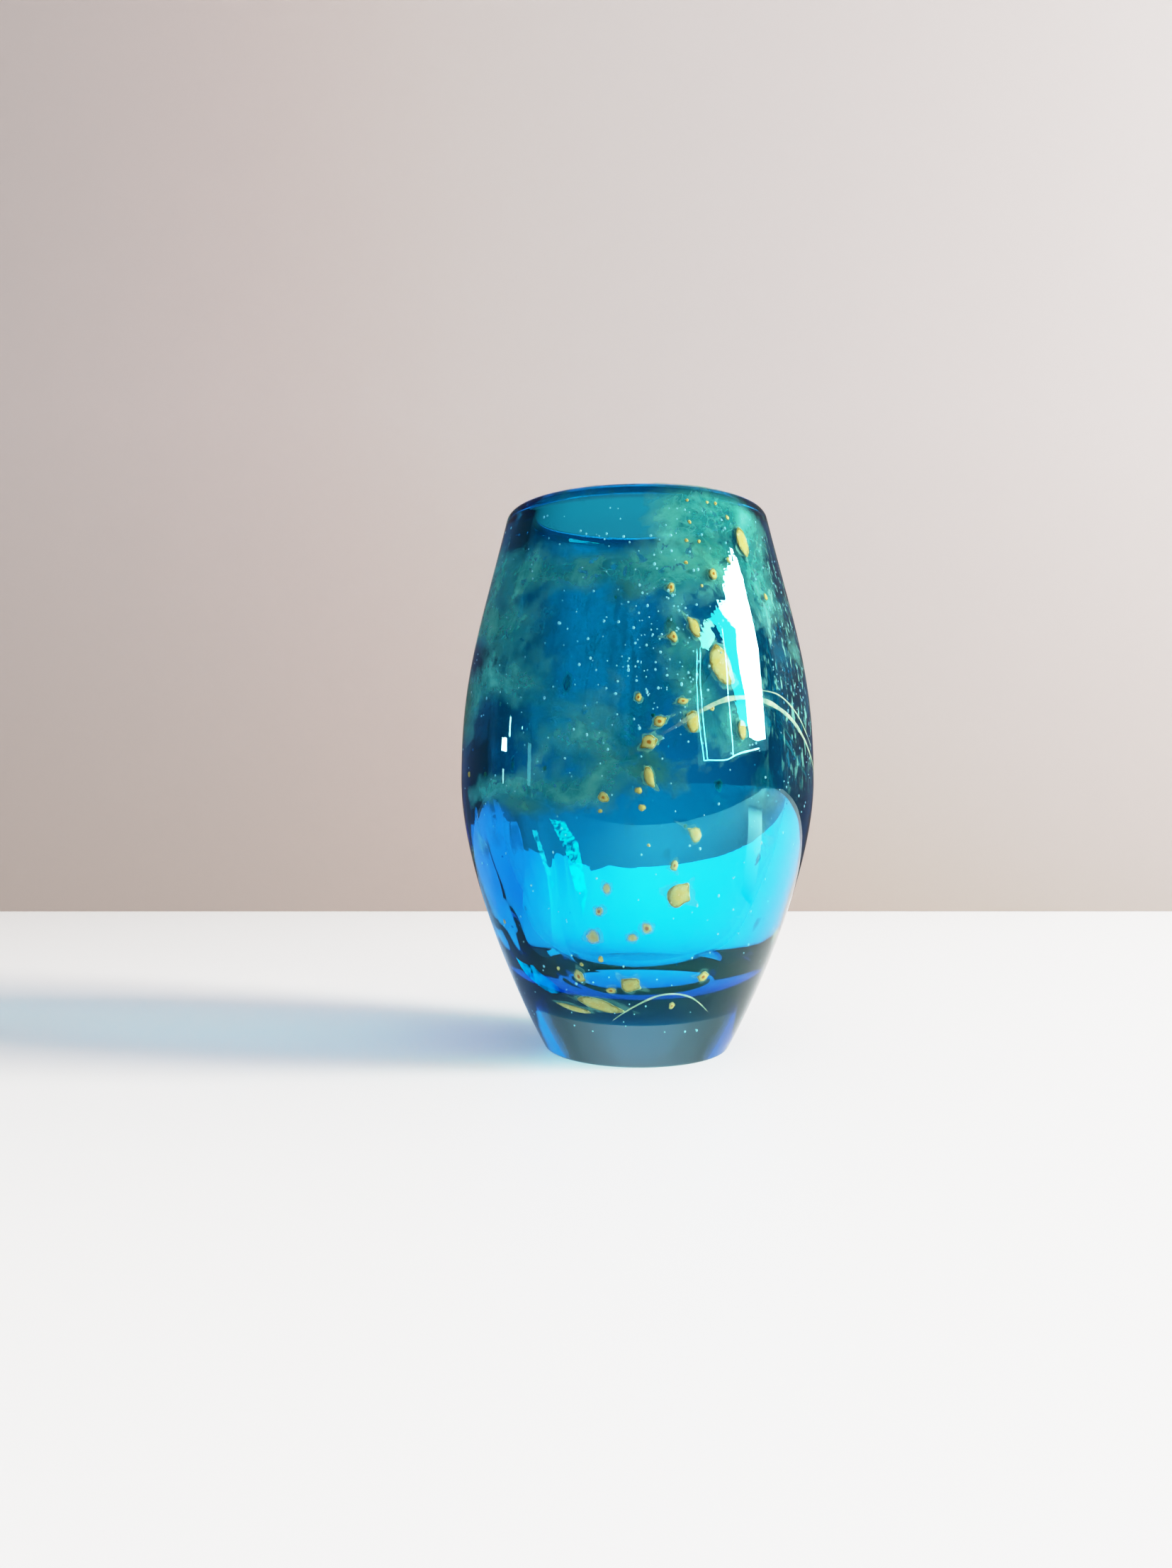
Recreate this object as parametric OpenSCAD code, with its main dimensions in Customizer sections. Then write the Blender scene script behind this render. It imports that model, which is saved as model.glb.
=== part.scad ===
// Hand blown art glass vase: a thick blue inner gather, cased in clear glass, with chips of
// coloured glass, veils of green powder and pale trails sealed inside the clear casing.
// Millimetres, +Z up. The origin is the middle of the foot, on the surface the vase stands on.
// A place on the wall is an azimuth and a height: azimuth 0 is the front, -Y, and it grows
// towards +X. A depth is measured into the glass, square to the outside surface.

/* [Outside] */
// Height over all
height = 180; // [174:1:186]
// Diameter at the widest part of the belly
belly_d = 118.5; // [114:0.5:122]
// Height of the widest part
belly_h = 90; // [86:1:94]
// Diameter of the flat of the foot
foot_d = 59; // [54:0.5:64]
// Radius of the edge of the foot
foot_edge_r = 2; // [1:0.5:3]
// Lean of the wall where it leaves the foot, from upright
foot_flare = 29; // [24:1:34]
// Diameter of the lip outside
lip_d = 88.2; // [84:0.2:92]
// Radius of the rounded edges of the lip
lip_edge_r = 3.8; // [3:0.1:4]
// Lean of the wall at the lip, inwards, from upright
lip_lean = 14; // [10:1:18]

/* [Fullness of the curve] */
// Pull of the curve above the foot
foot_pull = 19; // [15:1:24]
// Pull of the curve below the belly
belly_pull_low = 29; // [24:1:33]
// Pull of the curve above the belly
belly_pull_high = 34.5; // [30:0.5:38]
// Pull of the curve below the lip
lip_pull = 39.5; // [35:0.5:43]

/* [Layers] */
// Thickness of the whole wall from the belly up
wall_t = 8.7; // [8:0.1:10]
// Thickness of the clear casing from the belly up
casing_t = 3.2; // [3:0.1:3.6]
// How much the clear casing thickens from the belly down to the foot
thickening = 10; // [6:1:12]
// Height of the floor of the cavity at its middle
floor_h = 24; // [23:1:28]
// Height of the underside of the blue glass at its middle
core_h = 15.5; // [13:0.5:18]
// How flat the floor of the cavity is
floor_spread = 26; // [20:1:28]
// How flat the underside of the blue glass is
core_spread = 29; // [24:1:32]
// Height at which the floor of the cavity meets the wall
floor_blend_h = 42; // [40:1:48]
// Height at which the underside of the blue glass meets the wall
core_blend_h = 39; // [37:1:41]

/* [Inlays] */
// Depth of the chips' middle
chip_depth = 1.55; // [1.5:0.05:1.6]
// Thickness of a chip
chip_t = 1.1; // [0.8:0.1:1.1]
// Depth of the middle of a powder veil
veil_depth = 2.6; // [2.5:0.05:2.7]
// Thickness of a powder veil
veil_t = 0.4; // [0.3:0.1:0.4]
// Depth of the middle of a trail
trail_depth = 0.6; // [0.55:0.05:0.65]
// Thickness of a trail
trail_t = 0.5; // [0.4:0.1:0.6]

/* [Hidden] */
// Each chip: azimuth, height, width, length, and how far its top leans to the right.
CHIPS = [
    [42, 164, 5, 9, -10], [25, 152, 2.5, 4, -8], [9, 147, 2, 3.5, 5], [16, 135, 3.2, 6, -12],
    [9, 132, 2, 3.5, 0], [24, 124, 7.5, 11.5, -10], [-2, 114, 2, 2.5, 0], [11, 113, 3, 2, 20],
    [14, 107, 4, 6.5, -8], [4, 107, 3, 3.5, 20], [1, 101, 4, 4, 20], [30, 105, 3, 6, 0],
    [1, 91, 3, 5.5, -5], [15, 74, 3.5, 4.5, 0], [9, 65, 2.5, 2.8, 0], [11, 56, 7.2, 6.6, -20],
    [25, 30, 3, 3.6, 10], [-5, 28, 5.5, 4.6, -20], [-13, 26, 3, 2, 0], [-26, 30, 3.5, 3.5, 0],
    [-19, 21, 4, 13, -75], [-32, 19, 2, 11, -80], [-12, 58, 3, 3.4, 0], [-15, 51, 3, 3, 0],
    [-18, 43, 4.6, 5, 20], [-4, 43, 3.2, 3, 0], [1, 46, 3.4, 4, 0], [-150, 128, 4, 7, 10],
    [-118, 96, 3, 5, -15], [-95, 142, 3, 5, 5], [-75, 66, 4, 5, 30], [85, 152, 3, 5, -10],
    [112, 118, 4, 8, 12], [140, 88, 3, 5, -20], [160, 150, 4, 6, 8], [100, 58, 4, 4, 0],
    [-135, 60, 3, 4, 15], [66, 40, 3, 4, -20],
];
// Each speck: azimuth, height and size. Specks are the smallest chips, in two groups.
FRONT_SPECKS = [
    [18, 168, 1.2], [16, 162, 1.2], [21, 162, 1.2], [15, 155, 1.2], [20, 148, 1], [36, 171, 1.5],
    [18, 175, 1], [27, 175, 1], [31, 175, 1.2], [33, 157, 2], [49, 147, 2], [20, 111, 1.5],
    [-13, 81, 1.2], [-12, 85, 3], [-2, 87, 2], [-1, 82, 2], [1, 71, 1], [-16, 36, 1.8],
    [-24, 34, 1.2], [-35, 32, 1.2], [13, 21, 2],
];
BACK_SPECKS = [
    [78, 168, 1.2], [95, 132, 1.5], [120, 160, 1.2], [128, 104, 2], [170, 116, 1.5], [155, 70, 1.5],
    [-172, 160, 1.2], [-140, 95, 2], [-112, 165, 1.2], [-100, 118, 1.5], [-68, 92, 2], [-60, 45, 1.5],
];
// Each veil of powder: azimuth, height, width, length and lean.
VEILS = [
    [28, 159, 30, 28, 0], [-8, 146, 20, 15, -10], [12, 130, 26, 18, 10], [3, 94, 32, 22, 20],
    [-38, 82, 40, 13, 0], [72, 132, 36, 46, 0], [-128, 142, 44, 44, 0], [-165, 104, 36, 28, 0],
    [150, 128, 34, 28, 15], [-80, 112, 34, 42, 0], [108, 90, 30, 24, -15], [-110, 68, 30, 18, 0],
];
// Each trail: its name, its width, and the azimuths and heights that it runs through.
TRAILS = [
    ["shoulder_trail", 1.6, [[-4, 99], [6, 104], [16, 110], [26, 114], [38, 114], [50, 110],
                             [60, 104], [70, 97], [80, 91]]],
    ["shoulder_thread", 0.7, [[36, 117], [46, 116], [56, 111], [64, 105], [70, 101]]],
    ["base_thread", 0.8, [[-14, 16], [-4, 21], [8, 25], [20, 24], [32, 18]]],
];
front_speck_n = 6;
chip_sides = 10;
veil_sides = 20;
trail_sides = 6;
// Share of the size at each ring of an inlay, from its edge inwards.
CHIP_RINGS = [0.7];
VEIL_RINGS = [0.85, 0.55];
// How uneven the outlines are, and how fast the unevenness changes from one inlay to the next.
chip_uneven = 0.14;
veil_uneven = 0.2;
outline_turn = 47;
speck_flatness = 0.5;
trail_steps = 3;
curve_steps = 26;
edge_steps = 6;
search_steps = 24;
// How far a rounded bottom follows the wall, and the step that finds the wall's way there.
bottom_fullness = 0.55;
way_step = 0.01;

belly_r = belly_d / 2;
lip_edge_x = lip_d / 2 - lip_edge_r;
foot_top = [foot_d / 2 + foot_edge_r * cos(foot_flare), foot_edge_r * (1 - sin(foot_flare))];
lip_low = [lip_edge_x + lip_edge_r * cos(lip_lean), height - lip_edge_r * (1 - sin(lip_lean))];
LOW_CURVE = [
    foot_top, foot_top + foot_pull * [sin(foot_flare), cos(foot_flare)],
    [belly_r, belly_h - belly_pull_low], [belly_r, belly_h],
];
HIGH_CURVE = [
    [belly_r, belly_h], [belly_r, belly_h + belly_pull_high],
    lip_low - lip_pull * [-sin(lip_lean), cos(lip_lean)], lip_low,
];

function unit(v) = v / norm(v);
function bezier(p, t) =
    pow(1 - t, 3) * p[0] + 3 * pow(1 - t, 2) * t * p[1] + 3 * (1 - t) * t * t * p[2] + pow(t, 3) * p[3];
function heading(p, t) =
    unit(pow(1 - t, 2) * (p[1] - p[0]) + 2 * (1 - t) * t * (p[2] - p[1]) + t * t * (p[3] - p[2]));
// The outward normal is the heading turned a quarter turn away from the axis.
function outward(h) = [h[1], -h[0]];
function inset(p, t, depth) = bezier(p, t) - depth * outward(heading(p, t));
function arc(centre, r, from, to) =
    [for (i = [0 : edge_steps]) let(a = from + (to - from) * i / edge_steps) centre + r * [cos(a), sin(a)]];
// The curve's parameter at a height, by halving.
function at_height(p, h, low = 0, high = 1, n = search_steps) =
    n == 0 ? (low + high) / 2
    : let(mid = (low + high) / 2)
      bezier(p, mid)[1] < h ? at_height(p, h, mid, high, n - 1) : at_height(p, h, low, mid, n - 1);

// A point of a layer below the belly, where the clear casing thickens towards the foot.
function thickened(t, depth) = inset(LOW_CURVE, t, depth + thickening * pow(1 - t, 2));

// A layer at a depth: its rounded bottom, from the axis out, and its wall up to the lip.
function layer(depth, middle_h, spread, from_h) =
    let(start = at_height(LOW_CURVE, from_h),
        end = thickened(start, depth),
        way = unit(thickened(start + way_step, depth) - thickened(start - way_step, depth)),
        rise = (end[1] - middle_h) * bottom_fullness,
        p = [[0, middle_h], [spread, middle_h], end - rise * way, end])
    concat(
        [for (i = [0 : curve_steps - 1]) bezier(p, i / curve_steps)],
        [for (i = [0 : curve_steps]) thickened(start + (1 - start) * i / curve_steps, depth)],
        [for (i = [1 : curve_steps]) inset(HIGH_CURVE, i / curve_steps, depth)]);

OUTSIDE = concat(
    [[0, 0]],
    arc([foot_d / 2, foot_edge_r], foot_edge_r, -90, -foot_flare),
    [for (i = [1 : curve_steps]) bezier(LOW_CURVE, i / curve_steps)],
    [for (i = [1 : curve_steps - 1]) bezier(HIGH_CURVE, i / curve_steps)],
    arc([lip_edge_x, height - lip_edge_r], lip_edge_r, lip_lean, 90));
INTERFACE = concat(layer(casing_t, core_h, core_spread, core_blend_h), [[lip_edge_x, height]]);
// The cavity's side of the lip: its arc is tangent to the crown and to the leaning wall.
cavity_top = inset(HIGH_CURVE, 1, wall_t);
lip_rise = (height - lip_edge_r * (1 + sin(lip_lean)) - cavity_top[1]) / cos(lip_lean);
inner_edge = cavity_top + lip_rise * [-sin(lip_lean), cos(lip_lean)]
    + lip_edge_r * [cos(lip_lean), sin(lip_lean)];
CAVITY = concat(
    layer(wall_t, floor_h, floor_spread, floor_blend_h),
    arc(inner_edge, lip_edge_r, 180 + lip_lean, 90));

function reversed(list) = [for (i = [len(list) - 1 : -1 : 0]) list[i]];
// A point in the wall: azimuth, height on the outside, and depth.
function wall_point(azimuth, h, depth) =
    let(p = h < belly_h ? LOW_CURVE : HIGH_CURVE, q = inset(p, at_height(p, h), depth))
    [q[0] * sin(azimuth), -q[0] * cos(azimuth), q[1]];
function girth_radius(h) =
    let(p = h < belly_h ? LOW_CURVE : HIGH_CURVE) bezier(p, at_height(p, h))[0];
// The same, from a step across and a step up the wall from a centre, in millimetres.
function near_point(centre, across, up, depth) =
    wall_point(centre[0] + across / girth_radius(centre[1]) * 180 / PI, centre[1] + up, depth);
function uneven(a, seed, amount) =
    1 + amount * (sin(2 * a + seed * outline_turn) + 0.6 * sin(3 * a - 2 * seed * outline_turn));

// One layer of an inlay's points: a ring at a share of its size.
function ring(c, share, side, depth, thick, seed, amount, n) = [
    for (i = [0 : n - 1])
        let(a = 360 * i / n,
            k = share * uneven(a, seed, amount) / 2,
            x = c[2] * k * cos(a),
            y = c[3] * k * sin(a))
        near_point(c, x * cos(c[4]) + y * sin(c[4]), y * cos(c[4]) - x * sin(c[4]),
            depth - side * thick / 2 * sqrt(1 - share * share))
];

// A lens of glass that follows the wall. c is its azimuth, height, width, length and lean.
module inlay(c, depth, thick, seed, amount, n, rings) {
    edge = ring(c, 1, 0, depth, thick, seed, amount, n);
    outer = [for (share = rings) each ring(c, share, 1, depth, thick, seed, amount, n)];
    inner = [for (share = rings) each ring(c, share, -1, depth, thick, seed, amount, n)];
    tips = [near_point(c, 0, 0, depth - thick / 2), near_point(c, 0, 0, depth + thick / 2)];
    count = len(rings);
    // The first point of each ring, from the edge to the innermost, on either side.
    firsts = [
        [for (k = [0 : count]) k * n],
        [for (k = [0 : count]) k == 0 ? 0 : (count + k) * n],
    ];
    faces = [
        for (side = [0, 1], i = [0 : n - 1])
            let(j = (i + 1) % n, f = firsts[side], tip = (2 * count + 1) * n + side)
            each concat(
                [for (k = [0 : count - 1]) [f[k] + i, f[k + 1] + i, f[k + 1] + j]],
                [for (k = [0 : count - 1]) [f[k] + i, f[k + 1] + j, f[k] + j]],
                [[f[count] + i, tip, f[count] + j]])
    ];
    half = len(faces) / 2;
    turned = [for (k = [0 : len(faces) - 1]) k < half ? faces[k] : reversed(faces[k])];
    polyhedron(concat(edge, outer, inner, tips), turned);
}

// A smooth path through the points, with trail_steps steps between each two.
function smooth(p) = [
    for (i = [0 : len(p) - 2], s = [0 : trail_steps - 1])
        let(t = s / trail_steps,
            a = p[max(i - 1, 0)], b = p[i], c = p[i + 1], d = p[min(i + 2, len(p) - 1)])
        0.5 * (2 * b + (c - a) * t + (2 * a - 5 * b + 4 * c - d) * t * t
            + (3 * b - a - 3 * c + d) * t * t * t)
];

// A drawn-out thread of glass that follows the wall and tapers to a point at each end.
module thread(points, width) {
    path = concat(smooth(points), [points[len(points) - 1]]);
    last = len(path) - 1;
    middle = [
        for (k = [1 : last - 1])
            let(r = girth_radius(path[k][1]) * PI / 180,
                step = path[k + 1] - path[k - 1],
                way = unit([step[0] * r, step[1]]),
                taper = sqrt(sin(180 * k / last)))
            for (i = [0 : trail_sides - 1])
                let(a = 360 * i / trail_sides, side = width / 2 * taper * cos(a))
                near_point(path[k], -way[1] * side, way[0] * side,
                    trail_depth + trail_t / 2 * taper * sin(a))
    ];
    ends = [for (k = [0, last]) wall_point(path[k][0], path[k][1], trail_depth)];
    rings = last - 1;
    first_end = rings * trail_sides;
    faces = concat(
        [for (k = [0 : rings - 2], i = [0 : trail_sides - 1])
            let(j = (i + 1) % trail_sides, a = k * trail_sides, b = a + trail_sides)
            each [[a + i, b + j, a + j], [a + i, b + i, b + j]]],
        [for (i = [0 : trail_sides - 1])
            let(j = (i + 1) % trail_sides, b = (rings - 1) * trail_sides)
            each [[i, j, first_end], [b + j, b + i, first_end + 1]]]);
    polyhedron(concat(middle, ends), [for (f = faces) reversed(f)]);
}

module chip(i) {
    inlay(CHIPS[i], chip_depth, chip_t, i, chip_uneven, chip_sides, CHIP_RINGS);
}

module specks(list) {
    for (s = list)
        inlay([s[0], s[1], s[2], s[2], 0], chip_depth, min(s[2] * speck_flatness, chip_t), 0, 0,
            front_speck_n, CHIP_RINGS);
}

module veil(i) {
    inlay(VEILS[i], veil_depth, veil_t, i, veil_uneven, veil_sides, VEIL_RINGS);
}

module clear_casing() {
    color([0.8, 0.92, 0.92, 0.35])
        difference() {
            rotate_extrude($fn = 96) polygon(concat(OUTSIDE, reversed(INTERFACE)));
            for (i = [0 : len(CHIPS) - 1]) chip(i);
            for (i = [0 : len(VEILS) - 1]) veil(i);
            for (t = TRAILS) thread(t[2], t[1]);
            specks(FRONT_SPECKS);
            specks(BACK_SPECKS);
        }
}

module blue_body() {
    color([0.02, 0.42, 0.62, 0.6])
        rotate_extrude($fn = 96) polygon(concat(INTERFACE, reversed(CAVITY)));
}

module coloured_chip(i) {
    color([0.86, 0.74, 0.32]) chip(i);
}

module coloured_veil(i) {
    color([0.18, 0.56, 0.46]) veil(i);
}

module coloured_trail(i) {
    color([0.72, 0.86, 0.62]) thread(TRAILS[i][2], TRAILS[i][1]);
}

module front_specks() {
    color([0.86, 0.74, 0.32]) specks(FRONT_SPECKS);
}

module back_specks() {
    color([0.86, 0.74, 0.32]) specks(BACK_SPECKS);
}

function chip_name(i) = str("chip_", i + 1);
function veil_name(i) = str("powder_veil_", i + 1);
clear_casing();
blue_body();
front_specks();
back_specks();
for (i = [0 : len(CHIPS) - 1]) coloured_chip(i);
for (i = [0 : len(VEILS) - 1]) coloured_veil(i);
for (i = [0 : len(TRAILS) - 1]) coloured_trail(i);
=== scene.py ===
import math
import random

import bmesh
import bpy
import numpy as np
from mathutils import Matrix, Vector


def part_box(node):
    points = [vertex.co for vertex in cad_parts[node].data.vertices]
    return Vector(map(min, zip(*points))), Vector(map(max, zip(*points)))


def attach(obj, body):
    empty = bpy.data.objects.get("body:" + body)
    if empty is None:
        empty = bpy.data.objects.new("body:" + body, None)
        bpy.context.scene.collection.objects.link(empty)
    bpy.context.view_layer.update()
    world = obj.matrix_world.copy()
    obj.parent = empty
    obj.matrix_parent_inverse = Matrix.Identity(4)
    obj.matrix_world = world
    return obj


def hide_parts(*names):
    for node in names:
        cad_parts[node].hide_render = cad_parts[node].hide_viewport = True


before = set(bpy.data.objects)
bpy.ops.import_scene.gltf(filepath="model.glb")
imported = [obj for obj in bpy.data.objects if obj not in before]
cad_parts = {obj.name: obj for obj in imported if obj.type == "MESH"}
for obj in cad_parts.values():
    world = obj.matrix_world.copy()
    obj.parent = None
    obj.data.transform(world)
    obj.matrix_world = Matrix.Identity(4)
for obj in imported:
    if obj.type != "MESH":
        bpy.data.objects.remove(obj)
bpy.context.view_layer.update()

# The hand blown art glass vase. Metres, +Z up, the foot's middle at the origin, -Y the front.
# A place on the wall is an azimuth and a height: azimuth 0 is the front, and it grows towards +X.
# A depth is measured into the glass, square to the outside surface.

MM = 0.001
SEED = 11
VEIL_SEED = SEED + 100
BUBBLE_SEED = SEED + 300

# ------------------------ the vase's driving sizes
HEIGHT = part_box("clear_casing")[1].z
BELLY_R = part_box("clear_casing")[1].x
BELLY_H = 90 * MM
FOOT_R = 29.5 * MM
FOOT_EDGE_R = 2 * MM
FOOT_FLARE = math.radians(29)
LIP_R = 44.1 * MM
LIP_EDGE_R = 3.8 * MM
LIP_LEAN = math.radians(14)
FOOT_PULL = 19 * MM
BELLY_PULL_LOW = 29 * MM
BELLY_PULL_HIGH = 34.5 * MM
LIP_PULL = 39.5 * MM
WALL_T = 8.7 * MM
CASING_T = 3.2 * MM
FLOOR_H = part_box("blue_body")[0].z + 8.5 * MM
CORE_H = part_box("blue_body")[0].z
THICKENING = 10 * MM
FLOOR_SPREAD = 26 * MM
CORE_SPREAD = 29 * MM
FLOOR_BLEND_H = 42 * MM
CORE_BLEND_H = 39 * MM
# The layers are fused. A gap too thin to see keeps their meshes from lying in each other.
SEAM_GAP = 0.02 * MM

SECTORS = 288
CURVE_STEPS = 90
EDGE_STEPS = 14
FLAT_STEPS = 7
WALL_STEPS = 300
HALVINGS = 30
# How straight a rounded bottom leaves the wall, as a share of its rise.
BOTTOM_PULL = 0.55
# How far the wall wanders from a true round, as a share of its radius.
DRIFT = 0.001
ON_AXIS = 1e-7


# ------------------------ the wall's curves
def unit(v):
    return v / np.linalg.norm(v)


def bezier(p, t):
    return (1 - t) ** 3 * p[0] + 3 * (1 - t) ** 2 * t * p[1] + 3 * (1 - t) * t * t * p[2] + t**3 * p[3]


def heading(p, t):
    return unit((1 - t) ** 2 * (p[1] - p[0]) + 2 * (1 - t) * t * (p[2] - p[1]) + t * t * (p[3] - p[2]))


def inset(p, t, depth):
    h = heading(p, t)
    return bezier(p, t) - depth * np.array([h[1], -h[0]])


def arc(centre, r, start, end):
    turns = np.linspace(start, end, EDGE_STEPS)
    return [np.array([centre[0] + r * math.cos(a), centre[1] + r * math.sin(a)]) for a in turns]


def at_height(p, h):
    low, high = 0.0, 1.0
    for _ in range(HALVINGS):
        middle = (low + high) / 2
        if bezier(p, middle)[1] < h:
            low = middle
        else:
            high = middle
    return (low + high) / 2


LIP_EDGE_X = LIP_R - LIP_EDGE_R
LIP_EDGE_Z = HEIGHT - LIP_EDGE_R
FLARE = np.array([math.sin(FOOT_FLARE), math.cos(FOOT_FLARE)])
LEAN = np.array([-math.sin(LIP_LEAN), math.cos(LIP_LEAN)])
FOOT_TOP = np.array([FOOT_R + FOOT_EDGE_R * FLARE[1], FOOT_EDGE_R * (1 - FLARE[0])])
LIP_LOW = np.array([LIP_EDGE_X + LIP_EDGE_R * LEAN[1], LIP_EDGE_Z - LIP_EDGE_R * LEAN[0]])
LOW_CURVE = [
    FOOT_TOP,
    FOOT_TOP + FOOT_PULL * FLARE,
    np.array([BELLY_R, BELLY_H - BELLY_PULL_LOW]),
    np.array([BELLY_R, BELLY_H]),
]
HIGH_CURVE = [
    np.array([BELLY_R, BELLY_H]),
    np.array([BELLY_R, BELLY_H + BELLY_PULL_HIGH]),
    LIP_LOW - LIP_PULL * LEAN,
    LIP_LOW,
]


def thickened(t, depth):
    """A point of a layer below the belly, where the clear casing thickens towards the foot."""
    return inset(LOW_CURVE, t, depth + THICKENING * (1 - t) ** 2)


def layer(depth, middle_h, spread, from_h):
    """A layer at a depth in the wall: its rounded bottom, from the axis out, and its wall up to the lip."""
    start = at_height(LOW_CURVE, from_h)
    end = thickened(start, depth)
    way = unit(thickened(start + 0.01, depth) - thickened(start - 0.01, depth))
    low = [thickened(t, depth) for t in np.linspace(start, 1, CURVE_STEPS)]
    high = [inset(HIGH_CURVE, t, depth) for t in np.linspace(0, 1, CURVE_STEPS)[1:]]
    return rounded_bottom(middle_h, spread, end, way) + low + high


def rounded_bottom(middle_h, spread, end, way):
    """From the axis to the wall's end point, which it meets along the wall's own way."""
    rise = (end[1] - middle_h) * BOTTOM_PULL
    p = [np.array([0, middle_h]), np.array([spread, middle_h]), end - rise * way, end]
    return [bezier(p, t) for t in np.linspace(0, 1, CURVE_STEPS // 2)[:-1]]


def outside_profile():
    flat = [np.array([r, 0.0]) for r in np.linspace(0, FOOT_R, FLAT_STEPS, endpoint=False)]
    edge = arc([FOOT_R, FOOT_EDGE_R], FOOT_EDGE_R, -math.pi / 2, -FOOT_FLARE)
    low = [bezier(LOW_CURVE, t) for t in np.linspace(0, 1, CURVE_STEPS)[1:]]
    high = [bezier(HIGH_CURVE, t) for t in np.linspace(0, 1, CURVE_STEPS)[1:-1]]
    return flat + edge + low + high + arc([LIP_EDGE_X, LIP_EDGE_Z], LIP_EDGE_R, LIP_LEAN, math.pi / 2)


def seam_profile(gap):
    """Where the blue glass meets the clear, drawn back by a gap into the blue."""
    crown = np.array([LIP_EDGE_X - gap, HEIGHT])
    return layer(CASING_T + gap, CORE_H + gap, CORE_SPREAD, CORE_BLEND_H) + [crown]


def cavity_profile():
    top = inset(HIGH_CURVE, 1, WALL_T)
    lift = (LIP_EDGE_Z + LIP_EDGE_R * LEAN[0] - top[1]) / LEAN[1]
    centre = top + lift * LEAN + LIP_EDGE_R * np.array([LEAN[1], -LEAN[0]])
    edge = arc(centre, LIP_EDGE_R, math.pi + LIP_LEAN, math.pi / 2)
    return layer(WALL_T, FLOOR_H, FLOOR_SPREAD, FLOOR_BLEND_H) + edge


# ------------------------ places in the wall
def wall_table():
    """Samples up the outside: height, radius, and the outward normal's two parts."""
    rows = []
    steps = np.linspace(0, 1, WALL_STEPS)
    for curve, places in ((LOW_CURVE, steps), (HIGH_CURVE, steps[1:])):
        for t in places:
            p, h = bezier(curve, t), heading(curve, t)
            rows.append((p[1], p[0], h[1], -h[0]))
    return np.array(rows).T


WALL_H, WALL_R, WALL_OUT, WALL_UP = wall_table()


def girth(h):
    return np.interp(h, WALL_H, WALL_R)


def wall_points(azimuth, h, depth):
    """Points in the wall; azimuth in degrees, h the height on the outside."""
    r = girth(h) - depth * np.interp(h, WALL_H, WALL_OUT)
    z = h - depth * np.interp(h, WALL_H, WALL_UP)
    a = np.radians(azimuth)
    return np.stack([r * np.sin(a), -r * np.cos(a), z], axis=-1)


def near_points(azimuth, h, across, up, depth):
    """Points a step across and a step up the wall from a place, at a depth."""
    return wall_points(azimuth + np.degrees(across / girth(h)), h + up, depth)


def inlay_frame(points, depth, spread):
    """Where an inlay of the CAD model lies, as azimuth, height and lean, and its half width and half
    length. spread is the share of the squared size that the mean square of such a lens's points has."""
    azimuth = math.degrees(math.atan2(points[:, 0].mean(), -points[:, 1].mean()))
    heights = np.interp(points[:, 2], WALL_H - depth * WALL_UP, WALL_H)
    h = heights.mean()
    turn = (np.degrees(np.arctan2(points[:, 0], -points[:, 1])) - azimuth + 180) % 360 - 180
    across = np.radians(turn) * girth(h)
    sizes, axes = np.linalg.eigh(np.cov(across, heights - h))
    half_width, half_length = np.sqrt(np.maximum(sizes, 1e-10) / spread)
    lean = math.degrees(math.atan2(axes[0, 1], axes[1, 1]))
    return (azimuth, h, (lean + 90) % 180 - 90), half_width, half_length


def node_points(name):
    return np.array([v.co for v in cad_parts[name].data.vertices])


def loose_parts(name):
    """The points of each separate solid in a CAD node, in an order that is the same each time."""
    b = bmesh.new()
    b.from_mesh(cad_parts[name].data)
    bmesh.ops.remove_doubles(b, verts=b.verts, dist=1e-6)
    left, parts = set(b.verts), []
    while left:
        reached = [left.pop()]
        part = []
        while reached:
            vert = reached.pop()
            part.append(tuple(vert.co))
            for edge in vert.link_edges:
                other = edge.other_vert(vert)
                if other in left:
                    left.remove(other)
                    reached.append(other)
        parts.append(part)
    b.free()
    return [np.array(part) for part in sorted(sorted(part) for part in parts)]


# ------------------------ meshes
def blown_drift(azimuth, z):
    """The radius at azimuths in radians, as a share of the true round's."""
    slow = np.sin(2 * azimuth + 1.1 + 9 * z) + 0.6 * np.sin(3 * azimuth - 0.7 - 14 * z)
    return 1 + DRIFT * slow * math.sin(math.pi * min(max(z / HEIGHT, 0), 1))


def skin(rings):
    """The points and faces of a closed skin over rings of points; a ring may be a single point."""
    points, faces, starts = [], [], []
    for ring in rings:
        starts.append(len(points))
        points.extend(ring)
    for k, (one, two) in enumerate(zip(rings, rings[1:])):
        a, c = starts[k], starts[k + 1]
        sides = max(len(one), len(two))
        for i in range(sides):
            j = (i + 1) % sides
            corners = [a] if len(one) == 1 else [a + i, a + j]
            corners += [c] if len(two) == 1 else [c + j, c + i]
            faces.append(corners)
    return points, faces


def joined(parts):
    """One list of points and one of faces from many such pairs."""
    points, faces = [], []
    for part_points, part_faces in parts:
        first = len(points)
        points.extend(part_points)
        faces.extend([[first + i for i in face] for face in part_faces])
    return points, faces


def place(name, data):
    piece = bpy.data.objects.new(name, data)
    bpy.context.scene.collection.objects.link(piece)
    return piece


def mesh_piece(name, points, faces, material):
    mesh = bpy.data.meshes.new(name)
    mesh.from_pydata([tuple(p) for p in points], [], faces)
    mesh.materials.append(material)
    return place(name, mesh)


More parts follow.
